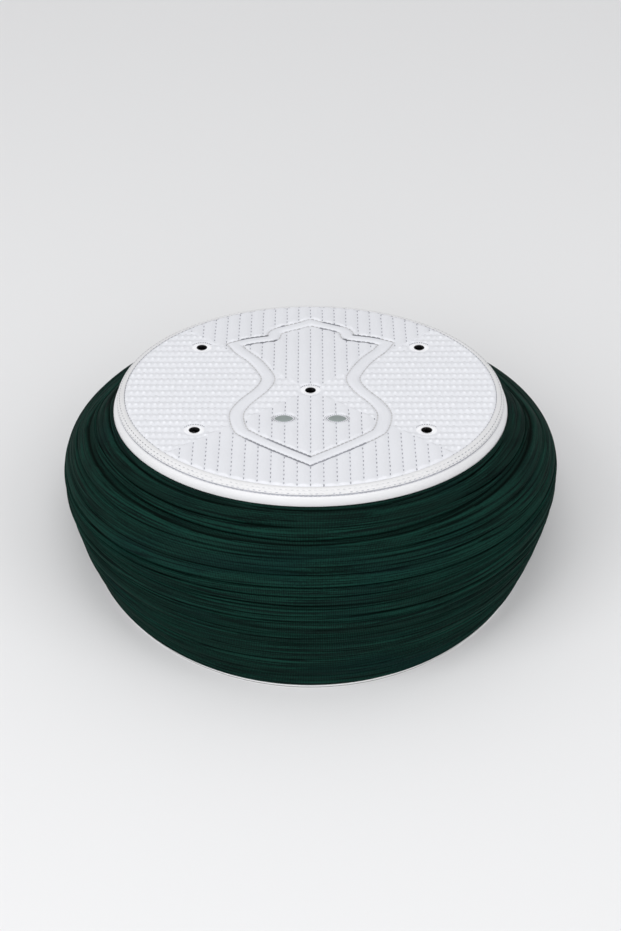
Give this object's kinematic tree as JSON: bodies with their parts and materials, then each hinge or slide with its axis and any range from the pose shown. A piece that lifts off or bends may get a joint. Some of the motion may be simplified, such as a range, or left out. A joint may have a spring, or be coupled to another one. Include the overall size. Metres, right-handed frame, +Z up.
{
  "type": "turban",
  "caption": "Ready-wound turban: white quilted oval cap with a vented crown and a long green cloth pleated and wound round its wall, standing on its hem.",
  "frame": {"origin": "centre of the bounding box at its base, on the plane of the hem's underside", "axes": "+Z up out of the crown, -Y towards the higher front of the turban, +X to the right when it is seen from the front"},
  "size_m": [0.1948, 0.2152, 0.0722],
  "materials": {
    "quilted_white": "matt white cotton, machine-quilted",
    "band_white": "smooth matt white cotton",
    "thread_white": "glossy white embroidery thread",
    "cloth_green": "fine dark green muslin, matt",
    "oval_grey": "grey-green cloth"
  },
  "bodies": {
    "root": {"crown_panel": "quilted_white", "edge_binding": "band_white", "side_band": "band_white", "bottom_hem": "band_white", "wound_cloth": "cloth_green", "eyelet_centre": "thread_white", "eyelet_front_left": "thread_white", "eyelet_front_right": "thread_white", "eyelet_back_left": "thread_white", "eyelet_back_right": "thread_white", "oval_left": "oval_grey", "oval_right": "oval_grey"}
  },
  "joints": []
}
